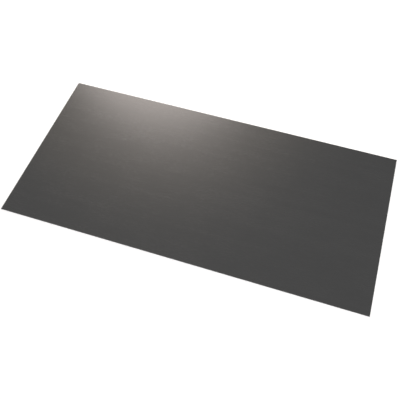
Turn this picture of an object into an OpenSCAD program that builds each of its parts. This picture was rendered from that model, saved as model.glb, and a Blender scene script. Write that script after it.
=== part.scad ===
// Flat rectangular plate of thin rolled steel, cut to size on a guillotine shear.
// Lengths are in millimetres and angles in degrees. The plate lies flat, with X along
// its length, Y across its width and Z up. The origin is the centre of its underside.

/* [Plate] */
// Length, along the rolling direction
plate_length = 800; // [100:1:3000]
// Width, across the rolling direction
plate_width = 400; // [50:1:1500]
// Thickness of the rolled sheet
plate_thickness = 1; // [0.7:0.05:3]

/* [Sheared edges] */
// Radius of the upper edge, which the blade pulled down before it bit
rollover_radius = 0.1; // [0.02:0.01:0.15]
// Height of the upright land below it, which the blade rubbed smooth
land_height = 0.3; // [0.1:0.01:0.35]
// Lean of the torn face below the land, measured from upright
tear_angle = 7; // [1:0.5:12]
// Bevel along the lower edge, where the burr was filed off
filed_bevel = 0.05; // [0.01:0.01:0.1]

/* [Hidden] */

steel_grey = "#484847";
// Each section runs this far past the cuts that trim its ends
trim_allowance = 5;
arc_segments = 48;

land_top = plate_thickness - rollover_radius;
land_foot = land_top - land_height;

// How far the torn face has drawn in from the land at a height above the underside
function tear_inset(height) = (land_foot - height) * tan(tear_angle);

// One sheared edge, from the underside to the upper face, for a cut at this distance out
function sheared_edge(cut) = [
    [cut - tear_inset(filed_bevel) - filed_bevel, 0],
    [cut - tear_inset(filed_bevel), filed_bevel],
    [cut, land_foot],
    [cut, land_top],
    [cut - rollover_radius, plate_thickness],
];

function mirrored(points) = [for (i = [len(points) - 1 : -1 : 0]) [-points[i].x, points[i].y]];

// Section between two parallel shear cuts: the upper corners are rolled over, and the
// faces lean in below the lands
module section_between_cuts(distance) {
    edge = sheared_edge(distance / 2);
    polygon(concat(edge, mirrored(edge)));
    for (side = [-1, 1])
        translate([side * (distance / 2 - rollover_radius), land_top])
            circle(r = rollover_radius, $fn = arc_segments);
}

// Strip along X, as the two long cuts leave it
module strip_cut_to_width() {
    rotate([90, 0, 90])
        linear_extrude(height = plate_length + 2 * trim_allowance, center = true)
            section_between_cuts(plate_width);
}

// Strip along Y, as the two short cuts leave it
module strip_cut_to_length() {
    rotate([90, 0, 0])
        linear_extrude(height = plate_width + 2 * trim_allowance, center = true)
            section_between_cuts(plate_length);
}

// All four cuts together, so the corners are square and the edges mitre into each other
module steel_plate() {
    color(steel_grey)
        intersection() {
            strip_cut_to_width();
            strip_cut_to_length();
        }
}

steel_plate();
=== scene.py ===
# %% [markdown]
# # A flat plate of rolled steel
# This lesson dresses one piece of raw stock: a plate of thin rolled steel, cut square on a guillotine
# shear and left bare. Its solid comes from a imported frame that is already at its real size, so nothing is
# fitted by eye. Lengths are in metres, X runs along the plate, Y across it, and Z is up.

# %% Load the frame
import math

import bmesh
import bpy
from mathutils import Matrix, Vector


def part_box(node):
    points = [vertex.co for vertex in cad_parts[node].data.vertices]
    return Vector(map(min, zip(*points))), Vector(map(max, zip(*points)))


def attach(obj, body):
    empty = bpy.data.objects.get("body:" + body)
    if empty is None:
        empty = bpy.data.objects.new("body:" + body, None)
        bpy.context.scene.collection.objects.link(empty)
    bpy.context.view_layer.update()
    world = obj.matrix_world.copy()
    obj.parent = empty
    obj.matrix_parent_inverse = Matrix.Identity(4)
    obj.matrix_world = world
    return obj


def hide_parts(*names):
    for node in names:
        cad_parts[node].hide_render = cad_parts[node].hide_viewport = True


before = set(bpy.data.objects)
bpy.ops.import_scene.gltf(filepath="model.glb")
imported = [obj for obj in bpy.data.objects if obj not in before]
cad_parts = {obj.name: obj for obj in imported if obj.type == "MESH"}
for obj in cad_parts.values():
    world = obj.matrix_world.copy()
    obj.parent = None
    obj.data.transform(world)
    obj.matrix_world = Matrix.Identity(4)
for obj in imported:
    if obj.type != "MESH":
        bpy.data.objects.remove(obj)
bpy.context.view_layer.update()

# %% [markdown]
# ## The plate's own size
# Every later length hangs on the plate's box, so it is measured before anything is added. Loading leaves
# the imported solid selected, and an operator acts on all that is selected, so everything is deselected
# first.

MM = 0.001

bpy.ops.object.select_all(action="DESELECT")
low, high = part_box("steel_plate")
length, width, thickness = high - low
print(f"plate {length / MM:.1f} x {width / MM:.1f} x {thickness / MM:.2f} mm")

# %% [markdown]
# ## Camera
# The picture is taken from the front, a little to the right, looking steeply down with a normal lens. Such
# a camera could be placed by eye, but four corners of a plate of known size are enough to work it out:
# only one set of angles, distance and lens puts all four where they belong. A hair of roll is the last
# thing they fix.

# %% Place the camera
VIEW_AZIMUTH = math.radians(18.59)
VIEW_ELEVATION = math.radians(56.39)
VIEW_ROLL = math.radians(-0.49)
VIEW_DISTANCE = 1.2462
VIEW_AIM = Vector((0.0045, -0.0439, 0.0))
LENS_MM = 51.11

turn = (
    Matrix.Rotation(VIEW_AZIMUTH, 4, "Z")
    @ Matrix.Rotation(math.pi / 2 - VIEW_ELEVATION, 4, "X")
    @ Matrix.Rotation(VIEW_ROLL, 4, "Z")
)
view_axis = turn @ Vector((0.0, 0.0, 1.0))
bpy.ops.object.camera_add(location=VIEW_AIM + VIEW_DISTANCE * view_axis, rotation=turn.to_euler())
camera = bpy.context.object
camera.name = "camera"
camera.data.lens = LENS_MM
bpy.context.scene.camera = camera
print("camera at", [round(x, 3) for x in camera.location])

# %% [markdown]
# ## Formulas for shader nodes
# A finish is a sum of patterns, and sums are easier to read as formulas than as wired boxes. This class
# wraps the output of one node, so that ordinary arithmetic on it adds Math nodes. Every other node comes
# from its one method, which sets what the node is and then fills its sockets with wires or plain values.

# %% Wrap a node's output
class Wire:
    """The output of a shader node, which can be used in arithmetic."""

    def __init__(self, tree, socket=None):
        self.tree = tree
        self.socket = socket

    def node(self, kind, settings=None, sockets=None, output=0):
        made = self.tree.nodes.new(kind)
        for name, setting in (settings or {}).items():
            setattr(made, name, setting)
        for name, value in (sockets or {}).items():
            if isinstance(value, Wire):
                self.tree.links.new(value.socket, made.inputs[name])
            else:
                made.inputs[name].default_value = value
        return Wire(self.tree, made.outputs[output] if made.outputs else None)

    def maths(self, operation, *values):
        return self.node("ShaderNodeMath", {"operation": operation}, dict(enumerate(values)))

    def __add__(self, other):
        return self.maths("ADD", self, other)

    def __sub__(self, other):
        return self.maths("SUBTRACT", self, other)

    def __rsub__(self, other):
        return self.maths("SUBTRACT", other, self)

    def __mul__(self, other):
        return self.maths("MULTIPLY", self, other)

    __radd__ = __add__
    __rmul__ = __mul__


def empty_tree(holder):
    """The node tree of a material or world, cleared, ready for its first wire."""
    holder.use_nodes = True
    holder.node_tree.nodes.clear()
    return Wire(holder.node_tree)


print("wires ready")

# %% [markdown]
# ## White studio
# The plate lies in a white room. The room's light is soft and even, and weaker than the white that the eye
# sees, because lamps add the rest. Light Path tells the two apart: rays from the camera, and rays that
# bounce off metal, meet plain white, and rays that only carry light meet the weaker level. The room isn't
# sampled as if it were a lamp, because such samples would show the steel the weaker level too.

# %% Light the room evenly
ROOM_LIGHT = 0.14
WHITE = (1.0, 1.0, 1.0, 1.0)


def seen_rays(tree):
    """1 for rays that show a surface, straight or by reflection, and 0 for rays that only light one."""
    seen = tree.node("ShaderNodeLightPath", output="Is Camera Ray")
    for kind in ("Is Glossy Ray", "Is Transmission Ray"):
        seen = seen.maths("MAXIMUM", seen, tree.node("ShaderNodeLightPath", output=kind))
    return seen


world = bpy.data.worlds.new("white_studio")
bpy.context.scene.world = world
room = empty_tree(world)
strength = ROOM_LIGHT + (1.0 - ROOM_LIGHT) * seen_rays(room)
glow = room.node("ShaderNodeBackground", sockets={"Color": WHITE, "Strength": strength})
room.node("ShaderNodeOutputWorld", sockets={"Surface": glow})
world.cycles.sampling_method = "NONE"
bpy.context.scene.view_settings.view_transform = "Standard"
print("room light", ROOM_LIGHT)

# %% [markdown]
# ## Floor
# The plate lies on a plain white floor. Under plain light a white floor only looks pale grey, so a little
# glow is added for the rays that the eye sees. The glow is added to the lit floor and doesn't replace it,
# so the plate's thin shadow stays. Further out, the floor fades into the white room, so no horizon shows.

# %% Lay the floor
FLOOR_RADIUS = 1.5
FLOOR_SIDES = 96
FADE_STARTS = 0.6
FADE_ENDS = 1.0
FLOOR_DROP = 0.02 * MM
FLOOR_WHITE = (0.8, 0.8, 0.8, 1.0)
FLOOR_GLOW = 0.36

bpy.ops.mesh.primitive_circle_add(
    vertices=FLOOR_SIDES, radius=FLOOR_RADIUS, fill_type="NGON", location=(0.0, 0.0, low.z - FLOOR_DROP)
)
floor = bpy.context.object
floor.name = "floor"
bpy.ops.object.transform_apply(location=True, rotation=True, scale=True)
paint = bpy.data.materials.new("white_floor")
coat = empty_tree(paint)
place = coat.node("ShaderNodeTexCoord", output="Object")
way_out = coat.node("ShaderNodeVectorMath", {"operation": "LENGTH"}, {0: place}, output="Value")
faded = coat.node(
    "ShaderNodeMapRange",
    {"interpolation_type": "SMOOTHSTEP"},
    {"Value": way_out, "From Min": FADE_STARTS, "From Max": FADE_ENDS},
)
lit = coat.node("ShaderNodeBsdfDiffuse", sockets={"Color": FLOOR_WHITE})
glow = coat.node("ShaderNodeEmission", sockets={"Color": WHITE, "Strength": FLOOR_GLOW * seen_rays(coat)})
white = coat.node("ShaderNodeAddShader", sockets={0: lit, 1: glow})
clear = coat.node("ShaderNodeBsdfTransparent")
surface = coat.node("ShaderNodeMixShader", sockets={0: faded, 1: white, 2: clear})
coat.node("ShaderNodeOutputMaterial", sockets={"Surface": surface})
floor.data.materials.append(paint)
print("floor", 2 * FLOOR_RADIUS, "m wide")

# %% [markdown]
# ## Softbox behind the plate
# The one strong tone on the plate is a broad warm sheen near the far left corner. It is the blurred mirror
# image of a lamp, so the lamp has to stand where a mirror would show it: behind the plate, a little to the
# left, and low. A small lamp would have to be very bright, and would burn a white spot into every low
# view. A round softbox over a metre wide does the same work with a gentle light. Its warm glow on the wall
# behind it, which widens the sheen a little, is a second disc, twice as wide and far dimmer. Both are
# given by how bright they look, and a disc's watts are that radiance times pi times its area.

# %% Hang the softbox and its glow
LAMP_DISTANCE = 2.5
WALL_DISTANCE = 2.6
SOFTBOX_WIDTH = 1.26
GLOW_WIDTH = 2 * SOFTBOX_WIDTH
SOFTBOX_RADIANCE = 8.7
GLOW_RADIANCE = 0.62
SOFTBOX_COLOUR = (1.0, 0.906, 0.860)
GLOW_COLOUR = (1.0, 0.846, 0.646)
BACK_SIDE = (-24.1, 30.6)


def hang_disc(name, side, distance, diameter, radiance, colour):
    """Hangs a round lamp that faces the plate. Its side is given as degrees right of +Y, and degrees up."""
    azimuth, elevation = [math.radians(angle) for angle in side]
    direction = Vector((
        math.sin(azimuth) * math.cos(elevation),
        math.cos(azimuth) * math.cos(elevation),
        math.sin(elevation),
    ))
    bpy.ops.object.light_add(
        type="AREA",
        location=distance * direction,
        rotation=(-direction).to_track_quat("-Z", "Y").to_euler(),
    )
    lamp = bpy.context.object
    lamp.name = name
    lamp.data.shape = "DISK"
    lamp.data.size = diameter
    area = math.pi * diameter ** 2 / 4.0
    lamp.data.energy = radiance * math.pi * area
    lamp.data.color = colour
    lamp.visible_camera = False
    print(f"{name} {diameter:.2f} m wide, {lamp.data.energy:.1f} W")


hang_disc("softbox", BACK_SIDE, LAMP_DISTANCE, SOFTBOX_WIDTH, SOFTBOX_RADIANCE, SOFTBOX_COLOUR)
hang_disc("wall_glow", BACK_SIDE, WALL_DISTANCE, GLOW_WIDTH, GLOW_RADIANCE, GLOW_COLOUR)

# %% [markdown]
# ## Softboxes for the other sides
# Satin steel shows itself by what it mirrors. Seen from the back, from an end or from above, it would
# mirror only an even room and look like grey card. So a dim white softbox hangs opposite each of those
# views. None hangs where the main camera would see its reflection, so that view keeps its one sheen.

# %% Hang the dim softboxes
DIM_RADIANCE = 3.0
PLAIN_WHITE = (1.0, 1.0, 1.0)
DIM_SIDES = {
    "front_softbox": (155.0, 28.0),
    "right_softbox": (105.0, 28.0),
    "left_softbox": (-105.0, 28.0),
    "far_right_softbox": (60.0, 24.0),
    "top_softbox": (165.0, 69.0),
}

for name, side in DIM_SIDES.items():
    hang_disc(name, side, LAMP_DISTANCE, SOFTBOX_WIDTH, DIM_RADIANCE, PLAIN_WHITE)

# %% [markdown]
# ## Blank
# The plate starts as a block of the plate's own size. A sheared edge isn't a plain square edge, and the
# next steps give it the four bands that a shear leaves. A plain block would have none of them. In edit
# mode, each band is found by where it lies, so a small helper selects only what a test accepts.

# %% Add the blank
HAIR = 0.002 * MM


def select(kind, wanted):
    """In edit mode, selects only the verts, edges or faces that wanted() accepts, and counts them."""
    bpy.ops.mesh.select_all(action="DESELECT")
    bpy.ops.mesh.select_mode(type=kind)
    mesh = bmesh.from_edit_mesh(bpy.context.object.data)
    parts = {"VERT": mesh.verts, "EDGE": mesh.edges, "FACE": mesh.faces}[kind]
    chosen = [part for part in parts if wanted(part)]
    for part in chosen:
        part.select_set(True)
    mesh.select_flush_mode()
    bmesh.update_edit_mesh(bpy.context.object.data)
    return len(chosen)


def at_height(z):
    """A test for verts, edges and faces that lie wholly at one height."""
    def lies_there(part):
        corners = [part] if isinstance(part, bmesh.types.BMVert) else part.verts
        return all(abs(corner.co.z - z) < HAIR for corner in corners)
    return lies_there


bpy.ops.object.select_all(action="DESELECT")
bpy.ops.mesh.primitive_cube_add(size=1.0, location=(low + high) / 2, scale=(length, width, thickness))
plate = bpy.context.object
plate.name = "rolled_plate"
bpy.ops.object.transform_apply(location=True, rotation=True, scale=True)
print("blank", [round(x / MM, 2) for x in plate.dimensions], "mm")

# %% [markdown]
# ## Rolled-over upper edge
# The blade pulls the sheet down a little before it bites, so the upper edge is round. A bevel with several
# segments gives that round in one step, and the four strips mitre into each other at the corners. A narrow
# inset beside it keeps the face flat right up to the round, so no shading spreads over the big face.

# %% Round the upper edge
ROLLOVER = 0.1 * MM
ROLLOVER_SEGMENTS = 6
FLAT_MARGIN = 0.15 * MM

bpy.ops.object.mode_set(mode="EDIT")
select("EDGE", at_height(high.z))
bpy.ops.mesh.bevel(offset=ROLLOVER, segments=ROLLOVER_SEGMENTS, profile=0.5, affect="EDGES")
select("FACE", at_height(high.z))
bpy.ops.mesh.inset(thickness=FLAT_MARGIN, depth=0.0)
print("upper edge", len(bmesh.from_edit_mesh(plate.data).faces), "faces")

# %% [markdown]
# ## Land, torn face and filed bevel
# Below the round, the blade rubs an upright band smooth, which is called the land. Then the steel tears,
# and the torn face leans in under the land. At the bottom the sharp burr has been filed to a tiny bevel.
# Bisect scores a line round the block at each height, and the lines below the land are then drawn in.

# %% Draw the edge in below the land
LAND_HEIGHT = 0.3 * MM
TEAR_LEAN = math.radians(7.0)
FILED_BEVEL = 0.05 * MM
TORN_ROWS = 5

land_top = high.z - ROLLOVER
land_foot = land_top - LAND_HEIGHT
torn_foot = low.z + FILED_BEVEL
torn_inset = (land_foot - torn_foot) * math.tan(TEAR_LEAN)


def score(z):
    """Cuts a line round the whole plate at one height."""
    bpy.ops.mesh.select_all(action="SELECT")
    bpy.ops.mesh.bisect(plane_co=(0.0, 0.0, z), plane_no=(0.0, 0.0, 1.0), threshold=HAIR)


def draw_in(z, inset):
    """Moves the ring of verts at one height towards the middle, by the same amount on all four sides."""
    select("VERT", at_height(z))
    scale = (1.0 - 2.0 * inset / length, 1.0 - 2.0 * inset / width, 1.0)
    bpy.ops.transform.resize(value=scale, center_override=(0.0, 0.0, z))


score(land_foot)
score(torn_foot)
draw_in(torn_foot, torn_inset)
draw_in(low.z, torn_inset + FILED_BEVEL)
for row in range(1, TORN_ROWS):
    score(torn_foot + (land_foot - torn_foot) * row / TORN_ROWS)
print(f"land foot {land_foot / MM:.2f} mm up, torn face drawn in {torn_inset / MM:.3f} mm")

# %% [markdown]
# ## Even mesh
# Huge faces shade badly and bake badly, so the plate gets an even net of square cells. Selecting the edges
# that run one way and subdividing only those cuts straight lines right round the plate. The edges across
# the narrow bands stay whole: they are shorter than the plate is thick, which tells them apart. The land
# and the torn face are then cut much finer, because the tear between them is far smaller than a cell.

# %% Cut the plate into cells
CELL = 10.0 * MM
FINE_STEPS = 32
MOSTLY = 0.9


def runs_along(axis):
    """A test for edges that run along X (0) or Y (1), and don't just cross a band."""
    def runs(edge):
        step = edge.verts[1].co - edge.verts[0].co
        return step.length > thickness and abs(step[axis]) > MOSTLY * step.length
    return runs


def in_upright_bands(part):
    """True for what lies in the land or the torn face, with the lines above and below them."""
    return all(torn_foot - HAIR < corner.co.z < land_top + HAIR for corner in part.verts)


for axis, size in enumerate((length, width)):
    select("EDGE", runs_along(axis))
    bpy.ops.mesh.subdivide(number_cuts=round(size / CELL) - 1)
for axis in range(2):
    along = runs_along(axis)
    select("EDGE", lambda edge: in_upright_bands(edge) and along(edge))
    bpy.ops.mesh.subdivide(number_cuts=FINE_STEPS - 1, ngon=False)
print("cells", len(bmesh.from_edit_mesh(plate.data).faces))

# %% [markdown]
# ## Slots for the finishes
# A shear bares fresh metal, so the edge doesn't look like the rolled faces. Three slots keep them apart:
# the rolled faces with the rounded edge, the land and the filed bevel, which a blade and a file rubbed
# bright, and the torn face. The faces are sorted now, while each band still lies between known heights.

# %% Sort the faces into slots
FINISHES = ("rolled_face", "rubbed_band", "torn_band")


def between(bottom, top):
    """A test for faces that stand between two heights."""
    def stands(face):
        heights = [corner.co.z for corner in face.verts]
        foot, head = min(heights), max(heights)
        return foot > bottom - HAIR and head < top + HAIR and head - foot > HAIR
    return stands


for finish in FINISHES:
    bpy.ops.object.material_slot_add()
    plate.material_slots[-1].material = bpy.data.materials.new(finish)
bands = (
    ("rubbed_band", low.z, torn_foot),
    ("rubbed_band", land_foot, land_top),
    ("torn_band", torn_foot, land_foot),
)
for finish, bottom, top in bands:
    count = select("FACE", between(bottom, top))
    plate.active_material_index = FINISHES.index(finish)
    bpy.ops.object.material_slot_assign()
    print(finish, count, "faces")

# %% [markdown]
# ## Rows that the tear moves
# Where the land ends, the steel let go at a slightly different depth all along the edge, and below that
# line the broken face is grainy. Both are too irregular to place by hand, so the next step moves whole
# rows of verts by noise. Vertex groups say how far each row goes. The rows below the land follow its
# ragged foot less and less, so that no face folds over, and the land's foot itself stays out of the grain.

# %% Weigh the rows
def weigh(name, rows):
    """Makes a vertex group of rows found by height, each with its own weight."""
    plate.vertex_groups.new(name=name)
    for z, weight in rows:
        select("VERT", at_height(z))
        bpy.context.scene.tool_settings.vertex_group_weight = weight
        bpy.ops.object.vertex_group_assign()


shares = [row / TORN_ROWS for row in range(1, TORN_ROWS + 1)]
heights = [torn_foot + (land_foot - torn_foot) * share for share in shares]
weigh("land_line", zip(heights, shares))
weigh("torn_grain", [(z, 1.0) for z in heights[:-1]])
bpy.ops.object.mode_set(mode="OBJECT")
print("rows", [round(z / MM, 2) for z in heights], "mm up")

# %% [markdown]
# ## Ragged tear
# Displace moves the verts of a group by a texture, and a cloud texture is as irregular as a tear. The
# land's foot wanders up and down by long, shallow clouds. The grain below it is made of clouds a third as
# long. It only pits the torn face, so that nothing swells out past the land.

# %% Tear the edge
LINE_WANDER = 0.25 * MM
LINE_WAVE = 1.6 * MM
GRAIN_DEPTH = 0.05 * MM
GRAIN_WAVE = 0.5 * MM
CLOUD_DETAIL = 3
BOTH_WAYS = 0.5
PITS_ONLY = 1.0


def roughen(name, direction, depth, wave, middle):
    """Moves a vertex group by clouds of one size, and measures how far its verts went."""
    before = [vert.co.copy() for vert in plate.data.vertices]
    clouds = bpy.data.textures.new(name, "CLOUDS")
    clouds.noise_scale = wave
    clouds.noise_depth = CLOUD_DETAIL
    displace = plate.modifiers.new(name, "DISPLACE")
    displace.texture = clouds
    displace.texture_coords = "LOCAL"
    displace.direction = direction
    displace.strength = depth
    displace.mid_level = middle
    displace.vertex_group = name
    bpy.ops.object.modifier_apply(modifier=name)
    plate.vertex_groups.remove(plate.vertex_groups[name])
    furthest = max((vert.co - old).length for vert, old in zip(plate.data.vertices, before))
    print(f"{name} moved up to {furthest / MM:.3f} mm")


roughen("land_line", "Z", LINE_WANDER, LINE_WAVE, BOTH_WAYS)
roughen("torn_grain", "NORMAL", GRAIN_DEPTH, GRAIN_WAVE, PITS_ONLY)

# %% [markdown]
# ## Shading
# The rounded upper edge should shade as one curve, and the bevel and the four corners should stay crisp.
# Smoothing by angle tells them apart, since the round turns a few degrees at a step and a corner turns far
# more. The mesh is then checked for holes: in a closed skin, every edge has a face on both sides.

# %% Smooth the round and keep the corners
SMOOTH_BELOW = math.radians(32.0)

bpy.ops.object.shade_smooth_by_angle(angle=SMOOTH_BELOW)
skin = bmesh.new()
skin.from_mesh(plate.data)
open_edges = sum(not edge.is_manifold for edge in skin.edges)
print("faces", len(skin.faces), "open edges", open_edges, f"volume {skin.calc_volume() / MM ** 3:.0f} mm3")
skin.free()

# %% [markdown]
# ## Map for baking
# An exported copy carries its finish as pictures, laid over the mesh by a map. At one scale for all, the
# edge would be a strip about one pixel tall, and its bands would run together. So this map gives each wide
# face nearly half of the picture, and stretches the four edges upwards into strips between them. The two
# short edges share a row. The materials here don't need the map, because they read Object coordinates.

# %% Plan the map
MAP_MARGIN = 0.004
FACE_SHARE = 0.466
STRIP_SHARE = 0.014
STRIP_GAP = 0.0035
STRIP_ROWS = {"front": 0, "back": 1, "left": 2, "right": 2}


def stretch(value, low_end, high_end, start, share):
    """Where a value between two ends falls within a share of the map."""
    return start + share * (value - low_end) / (high_end - low_end)


def place_on_map(side, point):
    """The map's place for a point on one of the six sides: up, down, front, back, left or right."""
    across = 1.0 - 2.0 * MAP_MARGIN
    if side in ("down", "up"):
        foot = MAP_MARGIN if side == "down" else 1.0 - MAP_MARGIN - FACE_SHARE
        return (
            stretch(point.x, low.x, high.x, MAP_MARGIN, across),
            stretch(point.y, low.y, high.y, foot, FACE_SHARE),
        )
    foot = MAP_MARGIN + FACE_SHARE + STRIP_GAP + STRIP_ROWS[side] * (STRIP_SHARE + STRIP_GAP)
    height = stretch(point.z, low.z, high.z, foot, STRIP_SHARE)
    if side in ("front", "back"):
        return stretch(point.x, low.x, high.x, MAP_MARGIN, across), height
    half = across / 2.0 - MAP_MARGIN
    start = MAP_MARGIN if side == "left" else 1.0 - MAP_MARGIN - half
    return stretch(point.y, low.y, high.y, start, half), height


print("middle of the upper face at", place_on_map("up", (low + high) / 2))

# %% [markdown]
# ## Faces on the map
# An automatic unwrap would cut the plate into islands of its own choice and lose the plan above. Here
# every face is asked which side it belongs to, and its corners are put where the plan says.

# %% Lay the faces on the map
def side_of(face):
    """The side that a face belongs to: up or down where it lies level, else the edge that is nearest."""
    if all(abs(vert.co.z - high.z) < HAIR for vert in face.verts):
        return "up"
    if all(abs(vert.co.z - low.z) < HAIR for vert in face.verts):
        return "down"
    middle = face.calc_center_median()
    ways = {
        "front": middle.y - low.y,
        "back": high.y - middle.y,
        "left": middle.x - low.x,
        "right": high.x - middle.x,
    }
    return min(ways, key=ways.get)


skin = bmesh.new()
skin.from_mesh(plate.data)
bake_map = skin.loops.layers.uv.new("OFBake")
for face in skin.faces:
    side = side_of(face)
    for loop in face.loops:
        loop[bake_map].uv = place_on_map(side, loop.vert.co)
skin.to_mesh(plate.data)
skin.free()
print("map", plate.data.uv_layers.keys())

# %% [markdown]
# ## Patterns on steel
# Steel's marks come in sizes that a maker can name: a rolling line is so long and so wide. So the helper
# below takes a mark's size in metres, stretches noise to it, and gives a value that swings about nought.
# More octaves add finer marks within the first ones, and fineness says how strong those are. Object
# coordinates keep the pattern fixed to the plate.

# %% Make a pattern from its size
MIDDLE = 0.5


def marks(tree, size, octaves=2.0, fineness=0.5):
    """Noise whose marks have this size along X, Y and Z. It swings about 0, mostly within a quarter."""
    place = tree.node("ShaderNodeTexCoord", output="Object")
    stretched = tree.node(
        "ShaderNodeMapping", sockets={"Vector": place, "Scale": [1.0 / side for side in size]}
    )
    noise = tree.node("ShaderNodeTexNoise", sockets={
        "Vector": stretched,
        "Scale": 1.0,
        "Detail": octaves,
        "Roughness": fineness,
    })
    return noise - MIDDLE


def blend(tree, share, first, second):
    """A colour between two. A Mix node keeps its colour sockets at 6 and 7, and gives a colour at 2."""
    return tree.node("ShaderNodeMix", {"data_type": "RGBA"}, {0: share, 6: first, 7: second}, output=2)


def shades(colour, spread):
    """A darker and a lighter shade of one colour."""
    return [[channel * scale for channel in colour] + [1.0] for scale in (1.0 - spread, 1.0 + spread)]


print("patterns ready")

# %% [markdown]
# ## Marks of the rolls
# Seen close, a rolled face has fine lines along the rolling direction, faint broad bands beside each
# other, and a cloudiness like breath on glass. A picture of steel could be laid over the plate, but it
# would repeat or blur. Noise that is stretched to each mark's size does neither. The lines go down to a
# hundredth of a millimetre, and bands and clouds are added up as patches.

# %% Lay the marks
LINE_SIZE = (15 * MM, 0.25 * MM, 5 * MM)
LINE_OCTAVES = 5.0
LINE_FINENESS = 0.7
BAND_SIZE = (700 * MM, 18 * MM, 5 * MM)
CLOUD_SIZE = (75 * MM, 50 * MM, 5 * MM)
CLOUD_OCTAVES = 3.0

rolled = empty_tree(bpy.data.materials["rolled_face"])
lines = marks(rolled, LINE_SIZE, LINE_OCTAVES, LINE_FINENESS)
patches = marks(rolled, BAND_SIZE) + marks(rolled, CLOUD_SIZE, CLOUD_OCTAVES)
print("marks", len(rolled.tree.nodes), "nodes")

# %% [markdown]
# ## Rolled face
# The rolls leave a dark, even, satin face. A metal shows only what it mirrors, tinted by its base colour
# and blurred by its roughness. The marks change both, and all of it is weak, because the face looks plain
# from a step away. The lines also tilt the surface a little, so they feed a bump as well. Specular Tint
# keeps the steel dark where it is seen at a slant, since a metal without it would turn pale there.

# %% Finish the rolled face
FACE_GREY = (0.06, 0.06, 0.06)
FACE_SPREAD = 0.12
FACE_ROUGHNESS = 0.26
EDGE_ON_TINT = (0.5, 0.5, 0.5, 1.0)
LINE_TONE = 1.6
LINE_BLUR = 0.12
LINE_HEIGHT = 0.0008 * MM
PATCH_TONE = 0.3
PATCH_BLUR = 0.025

dark, light = shades(FACE_GREY, FACE_SPREAD)
relief = rolled.node("ShaderNodeBump", sockets={"Height": lines, "Strength": 1.0, "Distance": LINE_HEIGHT})
shader = rolled.node("ShaderNodeBsdfPrincipled", sockets={
    "Base Color": blend(rolled, MIDDLE + LINE_TONE * lines + PATCH_TONE * patches, dark, light),
    "Metallic": 1.0,
    "Roughness": FACE_ROUGHNESS + LINE_BLUR * lines + PATCH_BLUR * patches,
    "Normal": relief,
    "Specular Tint": EDGE_ON_TINT,
})
rolled.node("ShaderNodeOutputMaterial", sockets={"Surface": shader})
print("rolled face", len(rolled.tree.nodes), "nodes")

# %% [markdown]
# ## Rubbed and torn bands
# The land is bright, because the blade burnished it, with fine upright drag lines. The torn band is the
# same fresh metal broken open, so it is greyer, matt and grainy. One helper makes both, since they differ
# only in tone, in gloss, and in the size and height of their grain.

# %% Finish the sheared edge
RUBBED_GREY = (0.19, 0.19, 0.185)
RUBBED_ROUGHNESS = 0.26
DRAG_SIZE = (0.25 * MM, 0.25 * MM, 3 * MM)
DRAG_HEIGHT = 0.003 * MM
TORN_GREY = (0.105, 0.105, 0.102)
TORN_ROUGHNESS = 0.55
BREAK_SIZE = (0.18 * MM, 0.18 * MM, 0.18 * MM)
BREAK_HEIGHT = 0.03 * MM
BARE_SPREAD = 0.25
BARE_BLUR = 0.2


def bare_metal(name, grey, roughness, grain, height):
    """Fresh metal of one grey, whose grain changes its tone, roughness and relief together."""
    tree = empty_tree(bpy.data.materials[name])
    swing = marks(tree, grain)
    dark, light = shades(grey, BARE_SPREAD)
    relief = tree.node("ShaderNodeBump", sockets={"Height": swing, "Strength": 1.0, "Distance": height})
    shader = tree.node("ShaderNodeBsdfPrincipled", sockets={
        "Base Color": blend(tree, MIDDLE + swing, dark, light),
        "Metallic": 1.0,
        "Roughness": roughness + BARE_BLUR * swing,
        "Normal": relief,
        "Specular Tint": EDGE_ON_TINT,
    })
    tree.node("ShaderNodeOutputMaterial", sockets={"Surface": shader})
    print(name, len(tree.tree.nodes), "nodes")


bare_metal("rubbed_band", RUBBED_GREY, RUBBED_ROUGHNESS, DRAG_SIZE, DRAG_HEIGHT)
bare_metal("torn_band", TORN_GREY, TORN_ROUGHNESS, BREAK_SIZE, BREAK_HEIGHT)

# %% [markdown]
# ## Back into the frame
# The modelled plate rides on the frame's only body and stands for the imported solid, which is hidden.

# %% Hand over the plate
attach(plate, "root")
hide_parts("steel_plate")
